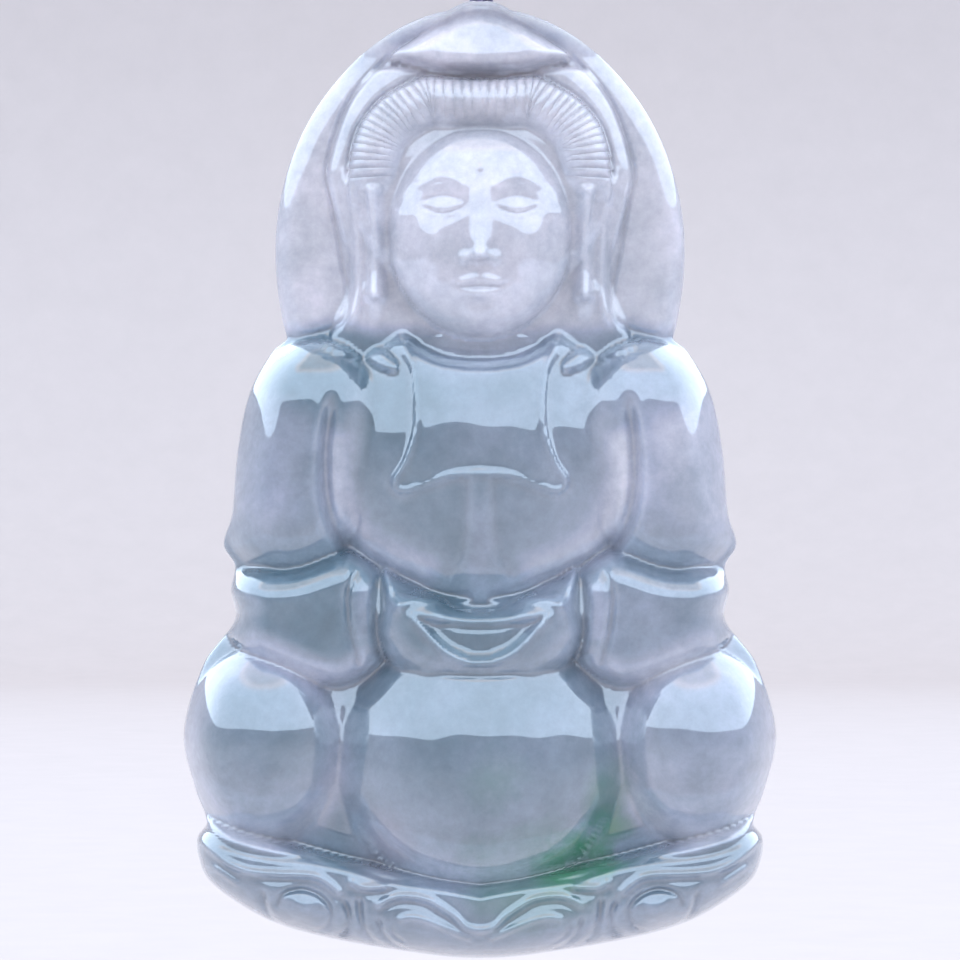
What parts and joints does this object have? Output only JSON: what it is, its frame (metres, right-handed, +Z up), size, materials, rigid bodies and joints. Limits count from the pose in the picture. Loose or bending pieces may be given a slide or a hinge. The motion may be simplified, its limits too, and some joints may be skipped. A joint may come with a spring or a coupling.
{
  "type": "carved jade pendant",
  "caption": "Translucent jade pendant carved as a seated figure on a lotus base with a halo, hanging on a thin doubled cord with a sliding knot.",
  "frame": {"origin": "the point on the inside of the cord's top loop where it bears on a peg or a neck cord", "axes": "+Z up along the hanging stone, the carved face looks along -Y, +X to the viewer's right"},
  "size_m": [0.0348, 0.0106, 0.0908],
  "materials": {
    "jade": "polished translucent jade, pale grey lavender with a green patch",
    "cord": "twisted nylon cord, dark blue violet",
    "knot": "wrapped nylon cord, dark blue violet"
  },
  "bodies": {
    "cord": {"hanging_cord": "cord"},
    "stone": {"jade_figure": "jade"},
    "knot": {"sliding_knot": "knot", "cord_tails": "cord"}
  },
  "joints": [
    {"name": "figure_sway", "type": "hinge", "parent": "cord", "child": "stone", "pos_m": [0, 0, -0.03675], "axis": [0, 1, 0], "range_deg": [-10, 10]},
    {"name": "knot_slide", "type": "slide", "parent": "cord", "child": "knot", "axis": [0, 0, 1], "range_m": [0, 0.01]}
  ]
}
